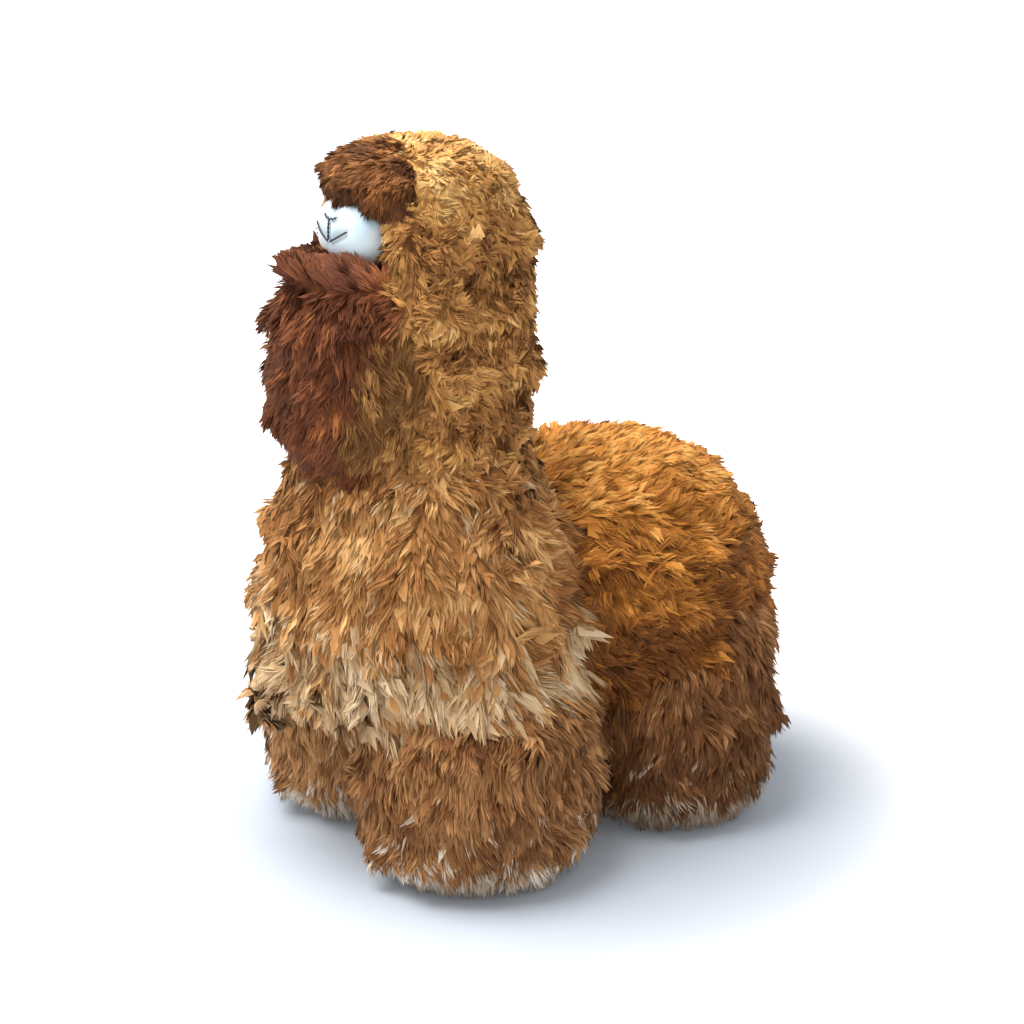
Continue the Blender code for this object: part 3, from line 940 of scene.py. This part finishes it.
tail = grow_fleece("tail_fleece", "tail", BACK_TONES, dict(
    seed=16, fibres=2600, locks=170, tufts=24, spacing=0.004, width=0.0005, length=steady(0.011),
    lean=(45, 80), wave=0.08, draw=0.2, gather=0.1, loose=0.12, stray=0.02, sparkle=0.15,
    grain=(1.0, 1.0, 0.5), tuft_rise=0.0010, streak_rise=0.0004, streak_size=0.007,
    swirl=steady(0.3), swirl_size=0.03, tuft_turn=0.25, lock_turn=0.15,
    tuft_tone=0.05, lock_tone=0.06, fibre_tone=0.13, parting_shade=0.15, streak_tone=0.08,
    flow=downward, tone=tail_tone, second=steady(0.0),
))

# Legs: four short stuffed legs, broad as boots, in brown pile that fans down from the body.
# It turns beige-grey in a band above the floor.
LEG_TONES = (
    (0.0, (0.11, 0.040, 0.012)),
    (0.2, (0.30, 0.125, 0.040)),
    (0.46, (0.66, 0.34, 0.140)),
    (0.54, (0.40, 0.280, 0.190)),
    (0.75, (0.76, 0.61, 0.46)),
    (1.0, (0.96, 0.86, 0.74)),
)
FOOT_BAND_Z = 0.022


def leg_flow(points, normals):
    """Combed down, and splayed out a little at the sole."""
    flow = normals * (0.08 + 0.17 * (1.0 - points[:, 2:] / 0.02).clip(0.0, 1.0))
    flow[:, 2] = -1.0
    return flow


def leg_length(points):
    """Clipped shorter toward the floor."""
    return 0.0065 + 0.0040 * ((points[:, 2] - 0.008) / 0.035).clip(0.0, 1.0)


def front_leg_tone_and_side_light(points, normals):
    """Paler on the right leg: partly its paler fleece, partly painted light on the side toward the
    lamp.
    """
    right = (-points[:, 0] / 0.02).clip(0.0, 1.0)
    return 0.58 + 0.20 * right + 0.12 * ripple(points, 0.028, 17)


def rear_leg_tone(points, normals):
    """Brighter at the top, where the leg meets the back."""
    top = ((points[:, 2] - 0.045) / 0.035).clip(0.0, 1.0)
    return 0.22 + 0.16 * top + 0.12 * ripple(points, 0.028, 18)


def foot_band(points):
    """Share of grey fibres, which stand in a band round the foot."""
    band = (FOOT_BAND_Z - points[:, 2]) / 0.012
    return np.maximum(band, 0.40 - points[:, 2] / 0.12) + 0.15 * ripple(points, 0.012, 43)


for node, seed, fibres, tone in (
    ("leg_front_left", 21, 18000, front_leg_tone_and_side_light),
    ("leg_front_right", 22, 18000, front_leg_tone_and_side_light),
    ("leg_rear_left", 23, 15500, rear_leg_tone),
    ("leg_rear_right", 24, 15500, rear_leg_tone),
):
    leg = grow_fleece(node + "_fleece", node, LEG_TONES, dict(
        seed=seed, fibres=fibres, locks=2200, tufts=170, spacing=0.0035, width=0.00036,
        length=leg_length, lean=(45, 85), wave=0.10, draw=0.22, gather=0.05, loose=0.07,
        stray=0.01, sparkle=0.12, grain=(1.0, 1.0, 0.45), tuft_rise=0.0014, streak_rise=0.0005,
        streak_size=0.0065, swirl=steady(0.5), swirl_size=0.03, tuft_turn=0.2, lock_turn=0.12,
        tuft_tone=0.06, lock_tone=0.06, fibre_tone=0.11, parting_shade=0.13, streak_tone=0.09,
        flow=leg_flow, tone=tone, second=foot_band,
    ))

# Floor, light and camera: a white floor without an edge, a wide soft lamp overhead, and the
# camera a metre away, above the animal's left shoulder.
FLOOR_SIZE = 40.0
# Near the animal the floor is painted darker and bluer and glows less, a painted shadow round it, and
# away from it it glows as white as the background
FLOOR_GLOW = 0.05
FADE_START = 0.11
FADE_END = 0.36
FLOOR_PAINTED_SHADOW = (0.55, 0.61, 0.70, 1.0)
FLOOR_FAR = (0.82, 0.82, 0.82, 1.0)
FLOOR_FAR_AT = 0.35
SKY_STRENGTH = 0.72
LAMP_AT = Vector((-0.20, -0.48, 1.32))
LAMP_AIM = Vector((0.0, 0.0, 0.12))
LAMP_WIDTH = 1.2
LAMP_POWER = 27.0
LAMP_TINT = (1.0, 0.98, 0.95)
CAMERA_TARGET = Vector((0.0439, -0.0301, 0.150))
CAMERA_AZIMUTH = math.radians(58.0)
CAMERA_ELEVATION = math.radians(18.8)
CAMERA_DISTANCE = 1.0105
CAMERA_LENS = 90.2

bpy.ops.mesh.primitive_plane_add(size=FLOOR_SIZE)
floor = bpy.context.object
floor.name = "floor"
floor_paint = bpy.data.materials.new("white_floor")
floor_paint.use_nodes = True
nodes, links = floor_paint.node_tree.nodes, floor_paint.node_tree.links
shader = nodes["Principled BSDF"]
shader.inputs["Roughness"].default_value = 1.0
shader.inputs["Specular IOR Level"].default_value = 0.0
glow = nodes.new("ShaderNodeEmission")
rays = nodes.new("ShaderNodeLightPath")
place = nodes.new("ShaderNodeTexCoord")
distance = nodes.new("ShaderNodeVectorMath")
distance.operation = "LENGTH"
fade_out = nodes.new("ShaderNodeMapRange")
fade_out.interpolation_type = "SMOOTHSTEP"
fade_out.inputs["From Min"].default_value = FADE_START
fade_out.inputs["From Max"].default_value = FADE_END
fade_out.inputs["To Min"].default_value = FLOOR_GLOW
fade_out.inputs["To Max"].default_value = 1.0
# Painted shadow: the floor's colour runs from dark blue-grey near the animal to plain grey-white far
# away
painted_shadow = nodes.new("ShaderNodeValToRGB")
painted_shadow.color_ramp.elements[0].position = FLOOR_GLOW
painted_shadow.color_ramp.elements[0].color = FLOOR_PAINTED_SHADOW
painted_shadow.color_ramp.elements[1].position = FLOOR_FAR_AT
painted_shadow.color_ramp.elements[1].color = FLOOR_FAR
lift = nodes.new("ShaderNodeMath")
lift.operation = "MULTIPLY"
both = nodes.new("ShaderNodeAddShader")
links.new(place.outputs["Object"], distance.inputs[0])
links.new(distance.outputs["Value"], fade_out.inputs["Value"])
links.new(fade_out.outputs["Result"], painted_shadow.inputs["Fac"])
links.new(painted_shadow.outputs["Color"], shader.inputs["Base Color"])
links.new(fade_out.outputs["Result"], lift.inputs[1])
links.new(rays.outputs["Is Camera Ray"], lift.inputs[0])
links.new(lift.outputs[0], glow.inputs["Strength"])
links.new(shader.outputs[0], both.inputs[0])
links.new(glow.outputs[0], both.inputs[1])
links.new(both.outputs[0], nodes["Material Output"].inputs["Surface"])
floor.data.materials.append(floor_paint)

world = bpy.data.worlds.new("studio")
world.use_nodes = True
bpy.context.scene.world = world
nodes, links = world.node_tree.nodes, world.node_tree.links
sky = nodes["Background"]
sky.inputs["Color"].default_value = (1.0, 1.0, 1.0, 1.0)
sky.inputs["Strength"].default_value = SKY_STRENGTH
white = nodes.new("ShaderNodeBackground")
white.inputs["Color"].default_value = (1.0, 1.0, 1.0, 1.0)
rays = nodes.new("ShaderNodeLightPath")
seen = nodes.new("ShaderNodeMath")
seen.operation = "MAXIMUM"
choose = nodes.new("ShaderNodeMixShader")
links.new(rays.outputs["Is Camera Ray"], seen.inputs[0])
links.new(rays.outputs["Is Glossy Ray"], seen.inputs[1])
links.new(seen.outputs[0], choose.inputs["Fac"])
links.new(sky.outputs[0], choose.inputs[1])
links.new(white.outputs[0], choose.inputs[2])
links.new(choose.outputs[0], nodes["World Output"].inputs["Surface"])

lamp_data = bpy.data.lights.new("softbox", "AREA")
lamp_data.shape = "DISK"
lamp_data.size = LAMP_WIDTH
lamp_data.energy = LAMP_POWER
lamp_data.color = LAMP_TINT
lamp = bpy.data.objects.new("softbox", lamp_data)
bpy.context.scene.collection.objects.link(lamp)
lamp.location = LAMP_AT
lamp.rotation_euler = (LAMP_AIM - LAMP_AT).to_track_quat("-Z", "Y").to_euler()

away = Vector((
    math.sin(CAMERA_AZIMUTH) * math.cos(CAMERA_ELEVATION),
    -math.cos(CAMERA_AZIMUTH) * math.cos(CAMERA_ELEVATION),
    math.sin(CAMERA_ELEVATION),
))
camera_data = bpy.data.cameras.new("camera")
camera_data.lens = CAMERA_LENS
camera_data.sensor_width = 36.0
camera_data.clip_end = 100.0
camera = bpy.data.objects.new("camera", camera_data)
bpy.context.scene.collection.objects.link(camera)
camera.location = CAMERA_TARGET + away * CAMERA_DISTANCE
camera.rotation_euler = (-away).to_track_quat("-Z", "Y").to_euler()
bpy.context.scene.camera = camera
bpy.context.scene.view_settings.view_transform = "Standard"
